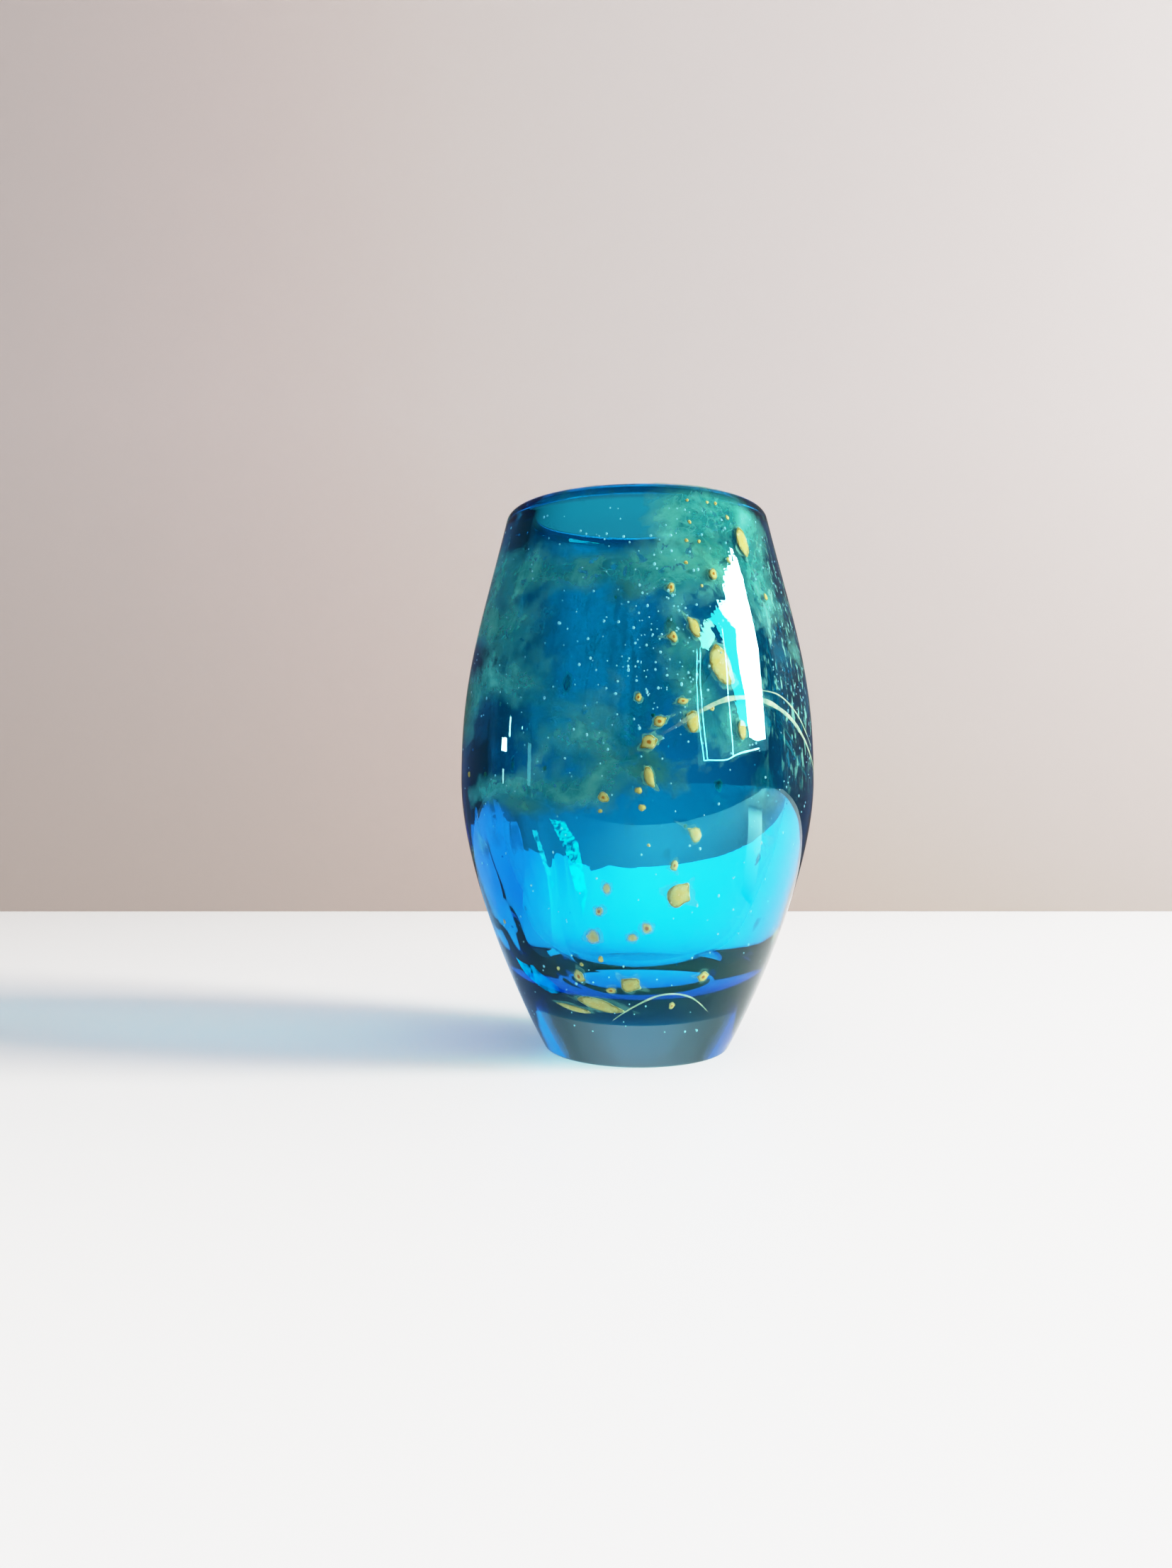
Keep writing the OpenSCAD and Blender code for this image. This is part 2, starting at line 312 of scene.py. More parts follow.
def make_piece(name, points, faces, material, replaced=(), values=None, domain="POINT"):
    """A smooth piece that rides on the vase. values are numbers at its points or faces, by name."""
    piece = mesh_piece(name, points, faces, material)
    piece.data.polygons.foreach_set("use_smooth", [True] * len(faces))
    for key, numbers in (values or {}).items():
        kept = piece.data.attributes.new(key, "FLOAT", domain)
        kept.data.foreach_set("value", np.array(numbers, dtype=np.float32))
    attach(piece, "root")
    if replaced:
        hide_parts(*replaced)


def make_gather(name, profile, seam_points, material, node):
    """A closed body of revolution. seam_points are the profile points that lie on the seam between
    the layers: a face between two of them is marked, because no light bends there."""
    azimuths = np.linspace(0, 2 * math.pi, SECTORS, endpoint=False)
    rings = []
    for r, z in profile:
        if r < ON_AXIS:
            rings.append([(0.0, 0.0, z)])
            continue
        k = r * blown_drift(azimuths, z)
        rings.append(np.stack([k * np.sin(azimuths), -k * np.cos(azimuths), np.full(SECTORS, z)], axis=-1))
    points, faces = skin(rings)
    marks = [float(k in seam_points and k + 1 in seam_points) for k in range(len(rings) - 1)]
    make_piece(name, points, faces, material, (node,), {"seam": np.repeat(marks, SECTORS)}, "FACE")


def lens(spot, depth, thick, shares, sides, outline):
    """A closed lens of glass that follows the wall, with the share of its size at each point.
    spot is an azimuth, a height and a lean; outline gives across and up from angles and a share."""
    azimuth, h, lean = spot
    angles = np.linspace(0, 2 * math.pi, sides, endpoint=False)
    rows = [(0.0, 1)] + [(s, 1) for s in shares] + [(1.0, 0)] + [(s, -1) for s in shares[::-1]] + [(0.0, -1)]
    turn = math.radians(lean)
    rings, values = [], []
    for share, side in rows:
        at = angles if share > 0 else angles[:1]
        x, y = outline(at, share)
        across = x * math.cos(turn) + y * math.sin(turn)
        up = y * math.cos(turn) - x * math.sin(turn)
        level = depth - side * thick / 2 * math.sqrt(1 - share * share)
        rings.append(near_points(azimuth, h, across, up, level))
        values.extend([share] * len(at))
    points, faces = skin(rings)
    return points, faces, values


# ------------------------ materials
GLASS_IOR = 1.5
MIRROR_TINT = (0.1, 1.0, 1.0, 1)
# What the lamps' light keeps as it passes through the vase.
LAMPS_TINT = (0.91, 1.0, 0.97, 1)
# Painted shade: how much light still gets through the lip's crown, darkened so that its outline shows dark.
RIM_SHADE = (0.06, 0.18, 0.28)
RIM_Z = (HEIGHT - 4 * MM, HEIGHT - 2 * MM)
SHARE_ROUGH = 0.12
SWELL_RISE = 0.06 * MM
PIT_RISE = 0.006 * MM
# The folds on the cavity's left side: how deep they are, and where they begin and are in full.
FOLD_SAG = 0.5 * MM
FOLD_X = (0.0, -15 * MM)
FOLD_Z = (92 * MM, 78 * MM)


def add(tree, kind, inputs=None, **settings):
    """A node with its settings; an input is a value or the output that feeds it."""
    made = tree.nodes.new(kind)
    for key, value in settings.items():
        setattr(made, key, value)
    for key, value in (inputs or {}).items():
        if isinstance(value, bpy.types.NodeSocket):
            tree.links.new(value, made.inputs[key])
        else:
            made.inputs[key].default_value = value
    return made


def shader(tree, kind, inputs=None):
    """A shader; kind is the end of its node's name."""
    return add(tree, f"ShaderNode{kind}", inputs).outputs[0]


def mixed(tree, factor, one, two):
    """A shader between two."""
    return shader(tree, "MixShader", {0: factor, 1: one, 2: two})


def blend(tree, factor, one, two):
    """A colour between two, each a colour or an output."""
    one, two = (c if isinstance(c, bpy.types.NodeSocket) else (*c, 1) for c in (one, two))
    return add(tree, "ShaderNodeMix", {0: factor, 6: one, 7: two}, data_type="RGBA").outputs[2]


def calculate(tree, operation, one, two=0.0):
    return add(tree, "ShaderNodeMath", {0: one, 1: two}, operation=operation).outputs[0]


def product(tree, one, two):
    return calculate(tree, "MULTIPLY", one, two)


def larger(tree, one, two):
    return calculate(tree, "MAXIMUM", one, two)


def ranged(tree, value, low, high, to_low=0.0, to_high=1.0):
    return add(tree, "ShaderNodeMapRange", {
        "Value": value, "From Min": low, "From Max": high, "To Min": to_low, "To Max": to_high,
    }).outputs[0]


def attribute(tree, name):
    return add(tree, "ShaderNodeAttribute", attribute_name=name).outputs["Fac"]


def light_path(tree):
    return add(tree, "ShaderNodeLightPath").outputs


def axes(tree, space="Object"):
    """Where the shaded point is, by axis."""
    spot = add(tree, "ShaderNodeTexCoord").outputs[space]
    return add(tree, "ShaderNodeSeparateXYZ", {"Vector": spot}).outputs


def noise(tree, scale, detail=2.0, distortion=0.0, stretch=None, roughness=0.5):
    """Noise over the object; stretch scales its axes first."""
    spot = add(tree, "ShaderNodeTexCoord").outputs["Object"]
    if stretch is not None:
        spot = add(tree, "ShaderNodeMapping", {"Vector": spot, "Scale": stretch}).outputs[0]
    return add(tree, "ShaderNodeTexNoise", {
        "Vector": spot, "Scale": scale, "Detail": detail, "Distortion": distortion, "Roughness": roughness,
    }).outputs["Fac"]


def ramp(tree, value, stops):
    """A colour ramp; each stop is a position and a colour."""
    made = add(tree, "ShaderNodeValToRGB", {"Fac": value})
    elements = made.color_ramp.elements
    while len(elements) < len(stops):
        elements.new(0.5)
    for element, (position, colour) in zip(elements, stops):
        element.position = position
        element.color = (*colour, 1)
    return made.outputs[0]


def bump(tree, height, rise, normal=None):
    """The normal of a surface that rises by this much where the height is 1."""
    inputs = {"Height": height, "Distance": rise}
    if normal is not None:
        inputs["Normal"] = normal
    return add(tree, "ShaderNodeBump", inputs).outputs["Normal"]


def new_material(name):
    material = bpy.data.materials.new(name)
    material.use_nodes = True
    material.node_tree.nodes.clear()
    return material, material.node_tree


def finished(material, surface, volume=None):
    """The material, with its surface and its volume led to its output."""
    outputs = {"Surface": surface} if volume is None else {"Surface": surface, "Volume": volume}
    add(material.node_tree, "ShaderNodeOutputMaterial", outputs)
    return material


def ripple_normal(tree, sag):
    """The faint swell and pitting of a surface that was blown and rolled. sag is how deep the
    folds are that ran down the left side."""
    normal = bump(tree, noise(tree, 60.0, 1.0), SWELL_RISE)
    if sag > 0:
        at = axes(tree)
        there = product(tree, ranged(tree, at["X"], *FOLD_X), ranged(tree, at["Z"], *FOLD_Z))
        folds = ranged(tree, noise(tree, 55.0, 1.0, 0.5, (1.0, 1.0, 0.25)), 0.42, 0.62)
        normal = bump(tree, product(tree, there, folds), sag, normal)
    pits = product(tree, noise(tree, 900.0), ranged(tree, noise(tree, 35.0), 0.5, 0.62))
    return bump(tree, pits, PIT_RISE, normal)


def lamps_pass(tree, surface):
    """Lets lamps and bounced daylight straight through, so that the vase casts its tinted shadow."""
    path = light_path(tree)
    either = larger(tree, path["Is Shadow Ray"], path["Is Diffuse Ray"])
    return mixed(tree, either, surface, shader(tree, "BsdfTransparent", {"Color": LAMPS_TINT}))


def layered_glass(name, absorbs, density, sag=0.0):
    """Glass that bends light where it meets the air, and only tints it at the seam."""
    material, tree = new_material(name)
    # Painted shade: the base colour darkens at the lip's crown.
    rim = ranged(tree, axes(tree)["Z"], *RIM_Z)
    glass = shader(tree, "BsdfPrincipled", {
        "Base Color": blend(tree, rim, (1, 1, 1), RIM_SHADE), "Roughness": 0.0, "IOR": GLASS_IOR,
        "Transmission Weight": 1.0, "Specular Tint": MIRROR_TINT, "Normal": ripple_normal(tree, sag),
    })
    through = shader(tree, "BsdfTransparent")
    surface = mixed(tree, attribute(tree, "seam"), lamps_pass(tree, glass), through)
    volume = shader(tree, "VolumeAbsorption", {"Color": (*absorbs, 1), "Density": density})
    return finished(material, surface, volume)


def powdery(tree, colour, cover, back_light):
    """Coloured glass under clear glass. cover is how much of it there is, and back_light how much
    of its light comes from behind."""
    front = shader(tree, "BsdfDiffuse", {"Color": colour})
    behind = shader(tree, "BsdfTranslucent", {"Color": colour})
    return mixed(tree, cover, shader(tree, "BsdfTransparent"), mixed(tree, back_light, front, behind))


def uneven_share(tree, scale, detail, low, high):
    """The share of a lens's size at a point, roughened."""
    rough = ranged(tree, noise(tree, scale, detail), low, high, -SHARE_ROUGH, SHARE_ROUGH)
    return calculate(tree, "ADD", attribute(tree, "share"), rough)


def chip_material(name, fullness=1.0):
    """Opaque yellow glass: an amber heart, a pitted yellow body, an olive rim and a pale edge.
    fullness is how much of it covers; under 1 it fades towards its edge."""
    material, tree = new_material(name)
    at = uneven_share(tree, 700.0, 4.0, 0.25, 0.75)
    body = ramp(tree, at, [
        (0.0, (0.50, 0.42, 0.10)), (0.45, (0.52, 0.50, 0.14)), (0.74, (0.42, 0.46, 0.15)),
        (0.86, (0.26, 0.22, 0.04)), (0.93, (0.13, 0.12, 0.02)), (1.0, (0.34, 0.46, 0.20))])
    blotch = ranged(tree, noise(tree, 380.0, 3.0), 0.45, 0.68)
    body = blend(tree, product(tree, blotch, 0.55), body, (0.48, 0.60, 0.26))
    pits = ranged(tree, noise(tree, 1500.0), 0.62, 0.72)
    body = blend(tree, product(tree, pits, 0.5), body, (0.85, 0.85, 0.52))
    heart = product(tree, attribute(tree, "heart"), ranged(tree, at, 0.40, 0.22))
    body = blend(tree, heart, body, (0.34, 0.13, 0.01))
    cover = ranged(tree, at, 1.0, 0.5, 0.1, fullness) if fullness < 1 else 1.0
    return finished(material, powdery(tree, body, cover, 0.2))


def halo_material(name, fullness):
    """The thin green glass that melted out round a chip, paler along its edge. fullness is how
    much of it covers."""
    material, tree = new_material(name)
    at = uneven_share(tree, 500.0, 3.0, 0.3, 0.7)
    colour = ramp(tree, at, [
        (0.0, (0.30, 0.52, 0.22)), (0.55, (0.12, 0.42, 0.32)), (0.82, (0.22, 0.62, 0.48)),
        (1.0, (0.10, 0.40, 0.34))])
    covers = [(0.0, 0.9), (0.5, 0.45), (0.82, 0.62), (0.97, 0.0)]
    cover = ramp(tree, at, [(position, (much, much, much)) for position, much in covers])
    return finished(material, powdery(tree, colour, product(tree, cover, fullness), 0.5))


def cloudy(tree, amount, dark, light):
    """Green powder that melted into ragged clouds with pale filaments and clear holes: its colour
    and its cover. amount is how much of it was laid down, from 0 to 1."""
    clouds = noise(tree, 60.0, 8.0, 0.25, None, 0.62)
    laid = calculate(tree, "ADD", amount, ranged(tree, clouds, 0.25, 0.75, -0.6, 0.6))
    holes = ranged(tree, noise(tree, 330.0, 3.0, 0.6), 0.60, 0.68, 1.0, 0.25)
    cover = product(tree, ranged(tree, laid, 0.25, 1.05, 0.0, 0.74), holes)
    ridge = calculate(tree, "ABSOLUTE", calculate(tree, "SUBTRACT", noise(tree, 150.0, 3.0, 1.2), 0.5))
    pale = product(tree, ranged(tree, ridge, 0.04, 0.0, 0.0, 0.4), ranged(tree, laid, 0.3, 0.7))
    return blend(tree, larger(tree, ranged(tree, clouds, 0.45, 0.75), pale), dark, light), cover


def veil_material(name, dark, light, fullness):
    """Green powder in a veil, thinner towards its edge."""
    material, tree = new_material(name)
    amount = ranged(tree, attribute(tree, "share"), 1.0, 0.1, -0.15, fullness)
    colour, cover = cloudy(tree, amount, dark, light)
    return finished(material, powdery(tree, colour, cover, 0.5))


def cloud_material():
    """The dusting between the veils, and on the right the flecks that it was drawn out into."""
    material, tree = new_material("powder_clouds")
    colour, cover = cloudy(tree, attribute(tree, "powder"), (0.03, 0.36, 0.29), (0.26, 0.80, 0.60))
    streaks = noise(tree, 620.0, 3.0, 0.3, (1.0, 1.0, 0.30))
    fleck = product(tree, ranged(tree, streaks, 0.57, 0.64), attribute(tree, "drawn"))
    colour = blend(tree, fleck, colour, (0.30, 0.70, 0.53))
    cover = larger(tree, cover, product(tree, fleck, 0.8))
    return finished(material, powdery(tree, colour, cover, 0.5))


def pale_material():
    """Pale green glass drawn out into a thread, streaked along its length."""
    material, tree = new_material("thread_pale")
    streak = ranged(tree, noise(tree, 700.0, 3.0), 0.35, 0.7)
    colour = blend(tree, streak, (0.34, 0.62, 0.40), (0.74, 0.88, 0.58))
    cover = ranged(tree, noise(tree, 160.0), 0.30, 0.50, 0.35, 0.95)
    cover = product(tree, cover, attribute(tree, "laid"))
    return finished(material, powdery(tree, colour, cover, 0.4))


def bubble_material():
    """A seed bubble: it lets light through like air in glass, and a pale diffuse colour paints the glint of
    its wall.
    """
    material, tree = new_material("seed_bubble")
    air = shader(tree, "BsdfTransparent", {"Color": (0.7, 0.9, 0.95, 1)})
    # Painted glint: the bubble's wall is given a pale diffuse colour.
    glint = powdery(tree, (0.38, 0.80, 0.85, 1), 1.0, 0.5)
    mottle = ranged(tree, noise(tree, 2500.0, 1.0), 0.35, 0.6, 0.4, 0.95)
    return finished(material, mixed(tree, mottle, air, glint))


# ------------------------ the two gathers
# What each glass lets through of red, green and blue, and how densely it absorbs the rest.
CLEAR_ABSORBS = (0.0, 0.50, 0.60)
CLEAR_DENSITY = 16.0
BLUE_ABSORBS = (0.0, 0.84, 0.93)
BLUE_DENSITY = 600.0


def make_casing():
    outside = outside_profile()
    profile = outside + seam_profile(0)[::-1]
    seam_points = range(len(outside) - 1, len(profile))
    glass = layered_glass("clear_glass", CLEAR_ABSORBS, CLEAR_DENSITY)
    make_gather("casing_glass", profile, seam_points, glass, "clear_casing")


def make_body():
    seam = seam_profile(SEAM_GAP)
    profile = seam + cavity_profile()[::-1]
    glass = layered_glass("blue_glass", BLUE_ABSORBS, BLUE_DENSITY, FOLD_SAG)
    make_gather("body_glass", profile, range(len(seam)), glass, "blue_body")


# ------------------------ chips of coloured glass
# Where a chip was drawn out, by its number: direction in degrees from the right, length in
# millimetres, and how broad the tail is, in radians of the outline.
TAILS = {
    1: [(-80, 2.0, 0.3)],
    4: [(130, 4.0, 0.3), (-60, 1.0, 0.3)],
    5: [(180, 4.0, 0.35)],
    6: [(-40, 2.6, 0.3), (100, 1.0, 0.3)],
    8: [(20, 1.2, 0.3), (200, 1.2, 0.3)],
    9: [(140, 2.5, 0.3)],
    10: [(25, 2.5, 0.25), (215, 1.0, 0.3)],
    11: [(215, 3.6, 0.35), (20, 3.0, 0.35), (60, 1.0, 0.3)],
    13: [(-50, 2.2, 0.3), (120, 1.5, 0.3)],
    14: [(150, 4.5, 0.22), (-10, 1.0, 0.3)],
    15: [(-60, 1.2, 0.3), (200, 0.8, 0.3)],
    16: [(165, 1.8, 0.4), (50, 2.2, 0.25), (-25, 3.6, 0.3)],
    17: [(175, 2.5, 0.2), (10, 1.0, 0.3)],
    18: [(140, 3.5, 0.3), (-25, 4.0, 0.3)],
    20: [(100, 1.5, 0.3), (-30, 1.5, 0.3)],
    21: [(175, 3.0, 0.4), (-12, 5.0, 0.35)],
    22: [(170, 2.0, 0.4)],
}
CHIP_COUNT = 38
# Chips that lie so deep that they look soft.
DEEP_CHIPS = (23, 24, 25, 26, 27)
# Chips at the two sides that are mere films of yellow.
FAINT_CHIPS = (31, 38)
# Chips low on the wall, where little green melted out.
LOW_CHIPS = range(14, 28)
# The share of the squared size that the mean square of a CAD inlay's points has.
CHIP_SPREAD = 0.31
SPECK_SPREAD = 0.28
CHIP_SHARES = [0.25, 0.45, 0.62, 0.76, 0.87, 0.95]
CHIP_SIDES = 48
CHIP_DEPTH = 1.55 * MM
CHIP_T = 1.0 * MM
CHIP_ROUGH = 0.05
SPECK_ROUGH = 0.10
# A chip's own nubs, as shares of its tails' length and breadth.
NUB_LENGTH = 0.3
NUB_BREADTH = 1.2
# Chips with less than this half length may have an amber heart, and this share of them does.
HEART_UNDER = 2.6 * MM
CHIP_HEARTS = 0.75
SPECK_HEARTS = 0.5
# The green melted glass round a chip: how far it reaches past it, and its tails.
HALO_DEPTH = 2.3 * MM
HALO_T = 0.12 * MM
HALO_ROUGH = 0.13
HALO_MARGIN = 0.5 * MM
HALO_GROWTH = 0.2
HALO_TAIL = 1.25


def drawn_outline(half_width, half_length, lean, tails, rng, rough):
    """An uneven oval with tails. It gives across and up from angles and a share of the size."""
    waves = [(2, 0.9), (3, 0.7), (5, 0.45), (8, 0.25)]
    turns = [rng.uniform(0, 2 * math.pi) for _ in waves]

    def outline(angles, share):
        k = np.ones_like(angles)
        for (count, weight), turn in zip(waves, turns):
            k += rough * weight * np.sin(count * angles + turn)
        x = half_width * share * k * np.cos(angles)
        y = half_length * share * k * np.sin(angles)
        for direction, length, breadth in tails:
            way = math.radians(direction + lean)
            off = (angles - way + math.pi) % (2 * math.pi) - math.pi
            reach = length * MM * np.exp(-((off / breadth) ** 2)) * share**3
            x += reach * math.cos(way)
            y += reach * math.sin(way)
        return x, y

    return outline


def make_chip(number, colour, halo_colour):
    name = f"chip_{number}"
    spot, half_width, half_length = inlay_frame(node_points(name), CHIP_DEPTH, CHIP_SPREAD)
    rng = random.Random(SEED + number)
    tails = TAILS.get(number, [])
    nubs = [(way, NUB_LENGTH * length, NUB_BREADTH * breadth) for way, length, breadth in tails]
    outline = drawn_outline(half_width, half_length, spot[2], nubs, rng, CHIP_ROUGH)
    points, faces, shares = lens(spot, CHIP_DEPTH, CHIP_T, CHIP_SHARES, CHIP_SIDES, outline)
    heart = float(half_length < HEART_UNDER and rng.random() < CHIP_HEARTS)
    values = {"share": shares, "heart": [heart] * len(shares)}
    make_piece(f"{name}_glass", points, faces, colour, (name,), values)
    halo_tails = [(way, HALO_TAIL * length, breadth) for way, length, breadth in tails]
    grown = HALO_MARGIN + HALO_GROWTH * half_width
    outline = drawn_outline(half_width + grown, half_length + grown, spot[2], halo_tails, rng, HALO_ROUGH)
    points, faces, shares = lens(spot, HALO_DEPTH, HALO_T, CHIP_SHARES, CHIP_SIDES, outline)
    make_piece(f"halo_{number}", points, faces, halo_colour, (), {"share": shares})


def make_specks(node, colour):
    """All of a CAD node's specks as one piece, each an uneven bead."""
    rng = random.Random(SEED + len(node))
    parts, shares, hearts = [], [], []
    for points in loose_parts(node):
        spot, half_width, half_length = inlay_frame(points, CHIP_DEPTH, SPECK_SPREAD)
        outline = drawn_outline(half_width, half_length, spot[2], [], rng, SPECK_ROUGH)
        thick = min(half_width, CHIP_T)
        made = lens(spot, CHIP_DEPTH, thick, CHIP_SHARES[1::2], CHIP_SIDES // 2, outline)
        parts.append(made[:2])
        shares.extend(made[2])
        hearts.extend([float(rng.random() < SPECK_HEARTS)] * len(made[2]))
    points, faces = joined(parts)
    values = {"share": shares, "heart": hearts}
    make_piece(f"{node}_glass", points, faces, colour, (node,), values)


def make_all_chips():
    yellow = chip_material("chip_yellow")
    soft_yellow = chip_material("chip_yellow_soft", 0.75)
    faint_yellow = chip_material("chip_yellow_faint", 0.15)
    halo_green = halo_material("halo_green", 1.0)
    halo_thin = halo_material("halo_thin", 0.35)
    for number in range(1, CHIP_COUNT + 1):
        colour = soft_yellow if number in DEEP_CHIPS else faint_yellow if number in FAINT_CHIPS else yellow
        make_chip(number, colour, halo_thin if number in (*LOW_CHIPS, *FAINT_CHIPS) else halo_green)
    make_specks("front_specks", yellow)
    make_specks("back_specks", yellow)


# ------------------------ veils of powder
VEIL_COUNT = 12
VEIL_SPREAD = 0.25
VEIL_DEPTH = 2.6 * MM
VEIL_T = 0.3 * MM
VEIL_SHARES = [0.12, 0.25, 0.38, 0.5, 0.62, 0.74, 0.86, 0.95]
VEIL_SIDES = 72
VEIL_ROUGH = 0.08
# Veils given a lighter green, which is painted light.
LIT_VEILS = (1, 3)
THIN_VEILS = (6,)
# The powder between the veils: azimuth, height in millimetres, their spreads, and how much there is.
CLOUDS = [
    (24, 161, 14, 12, 0.95), (20, 173, 14, 7, 0.9), (46, 170, 14, 9, 0.9), (6, 152, 11, 6, 0.7),
    (-12, 153, 16, 5, 0.7), (-34, 154, 18, 5, 0.8), (-66, 157, 18, 7, 1.0), (-52, 137, 14, 7, 0.9),
    (-78, 142, 16, 6, 1.0), (-68, 119, 18, 7, 1.0), (-38, 121, 10, 8, 0.6), (-24, 112, 12, 8, 0.5),
    (-10, 99, 12, 7, 0.35), (-30, 102, 12, 6, 0.5), (-17, 90, 14, 5, 0.4), (0, 94, 12, 7, 0.45),
    (-50, 87, 24, 4, 0.8), (-25, 85, 12, 4, 0.6), (10, 131, 6, 10, 0.5), (15, 117, 8, 10, 0.5),
    (26, 106, 10, 8, 0.6), (48, 152, 10, 10, 0.8), (110, 120, 20, 12, 0.6), (150, 134, 24, 14, 0.7),
    (195, 108, 22, 13, 0.7), (230, 150, 20, 12, 0.7), (262, 100, 16, 10, 0.6),
]
# Where the powder was drawn upwards into flecks, in the same form.
DRAWN = [(58, 134, 14, 26, 1.0), (64, 110, 14, 14, 0.9), (85, 140, 16, 24, 0.8)]
CLOUD_LOW = 66 * MM
CLOUD_HIGH = 181 * MM
CLOUD_STEPS = 110
CLOUD_DEPTH = 3.0 * MM
CLOUD_T = 0.1 * MM
# How fast a patch of powder thins out from its middle.
CLOUD_FALL = 0.7


def laid_down(patches, azimuths, h):
    """How much powder lies at places on the wall, from 0 to 1."""
    amount = np.zeros_like(azimuths)
    for azimuth, height, turn_spread, rise_spread, most in patches:
        turn = (azimuths - azimuth + 180) % 360 - 180
        off = (turn / turn_spread) ** 2 + ((h / MM - height) / rise_spread) ** 2
        amount += most * np.exp(-CLOUD_FALL * off)
    return np.minimum(amount, 1)


def make_clouds():
    """One thin skin of clear glass, right round the wall, that holds the loose powder."""
    azimuths = np.linspace(0, 360, SECTORS, endpoint=False)
    heights = np.linspace(CLOUD_LOW, CLOUD_HIGH, CLOUD_STEPS)
    rows = [(h, CLOUD_DEPTH) for h in heights] + [(h, CLOUD_DEPTH + CLOUD_T) for h in heights[::-1]]
    rings = [wall_points(azimuths, np.full(SECTORS, h), depth) for h, depth in rows]
    points, faces = skin(rings + rings[:1])
    first = len(points) - SECTORS
    faces = [[i - first if i >= first else i for i in face] for face in faces]
    values = {"powder": [], "drawn": []}
    for h, _ in rows:
        values["powder"].extend(laid_down(CLOUDS, azimuths, h))
        values["drawn"].extend(laid_down(DRAWN, azimuths, h))
    make_piece("powder_clouds", points[:first], faces, cloud_material(), (), values)


def make_veil(number, material):
    name = f"powder_veil_{number}"
    spot, half_width, half_length = inlay_frame(node_points(name), VEIL_DEPTH, VEIL_SPREAD)
    rng = random.Random(VEIL_SEED + number)
    outline = drawn_outline(half_width, half_length, spot[2], [], rng, VEIL_ROUGH)
    points, faces, shares = lens(spot, VEIL_DEPTH, VEIL_T, VEIL_SHARES, VEIL_SIDES, outline)
    make_piece(f"veil_{number}", points, faces, material, (name,), {"share": shares})


def make_veils():
    # Lit and shaded copies of one powder: the lighter green of the bright veils is painted light.
    bright = veil_material("veil_painted_lit", (0.05, 0.40, 0.32), (0.28, 0.76, 0.58), 0.9)
    dark = veil_material("veil_dark", (0.03, 0.26, 0.20), (0.12, 0.46, 0.34), 0.8)
    thin = veil_material("veil_thin", (0.03, 0.30, 0.26), (0.18, 0.56, 0.44), 0.3)
    for number in range(1, VEIL_COUNT + 1):
        make_veil(number, bright if number in LIT_VEILS else thin if number in THIN_VEILS else dark)
    make_clouds()


# ------------------------ trails
TRAIL_DEPTH = 0.6 * MM
TRAIL_SIDES = 12
TRAIL_UNEVEN = 0.18
STEPS_BETWEEN = 10
# Each trail: its name, its width and thickness in millimetres, the azimuths and heights in
# millimetres that it runs through, and how much of it shows at azimuths.
TRAILS = [
    ("shoulder_trail", 1.5, 0.45,
     [(-4, 99), (6, 104), (16, 110), (26, 114), (38, 114), (50, 110), (60, 104), (70, 97), (80, 91)],
     ((4, 12, 30), (0.0, 0.2, 1.0))),
    ("shoulder_thread", 0.6, 0.4, [(36, 117), (46, 116), (56, 111), (64, 105), (70, 101)],
     ((36, 46), (0.5, 1.0))),
    ("base_thread", 0.6, 0.4, [(-14, 16), (-4, 21), (8, 25), (20, 24), (32, 18)],
     ((-14, 6, 32), (0.25, 0.65, 0.35))),
]


def smooth_path(points):
    """A smooth path through points, by Catmull and Rom's rule."""
    path = []
    for i in range(len(points) - 1):
        a, b = points[max(i - 1, 0)], points[i]
        c, d = points[i + 1], points[min(i + 2, len(points) - 1)]
        for t in np.linspace(0, 1, STEPS_BETWEEN, endpoint=False):
            path.append(0.5 * (2 * b + (c - a) * t + (2 * a - 5 * b + 4 * c - d) * t**2
                               + (3 * b - a - 3 * c + d) * t**3))
    return np.array(path + [points[-1]])


def make_trail(name, width, thick, route, fade, colour):
    """A drawn-out thread that follows the wall; its ends come to a point."""
    path = smooth_path([np.array([azimuth, h * MM]) for azimuth, h in route])
    last = len(path) - 1
    angles = np.linspace(0, 2 * math.pi, TRAIL_SIDES, endpoint=False)
    rings = [wall_points(path[:1, 0], path[:1, 1], TRAIL_DEPTH)]
    for k in range(1, last):
        azimuth, h = path[k]
        step = path[k + 1] - path[k - 1]
        way = unit(np.array([math.radians(step[0]) * girth(h), step[1]]))
        taper = math.sqrt(math.sin(math.pi * k / last))
        taper *= 1 + TRAIL_UNEVEN * math.sin(0.7 * k) * math.sin(0.23 * k + 1)
        side = width * MM / 2 * taper * np.cos(angles)
        depth = TRAIL_DEPTH + thick * MM / 2 * taper * np.sin(angles)
        rings.append(near_points(azimuth, h, -way[1] * side, way[0] * side, depth))
    rings.append(wall_points(path[-1:, 0], path[-1:, 1], TRAIL_DEPTH))
    points, faces = skin(rings)
    laid = []
    for azimuth, ring in zip(path[:, 0], rings):
        laid.extend([float(np.interp(azimuth, *fade))] * len(ring))
    make_piece(f"{name}_glass", points, faces, colour, (name,), {"laid": laid})


def make_trails():
    pale = pale_material()
    for trail in TRAILS:
        make_trail(*trail, pale)


# ------------------------ seed bubbles
BUBBLE_SIDES = 10
BUBBLE_RINGS = 6
# In millimetres: the least radius, how much larger it may be, and the heights and depths that hold
# bubbles. STRETCHES is how much taller than wide they are.
BUBBLE_LEAST = 0.18
BUBBLE_MORE = 0.24
BUBBLE_LOW = 12
BUBBLE_HIGH = 172
BUBBLE_DEPTHS = (0.7, 2.2)
STRETCHES = (1.0, 1.5)
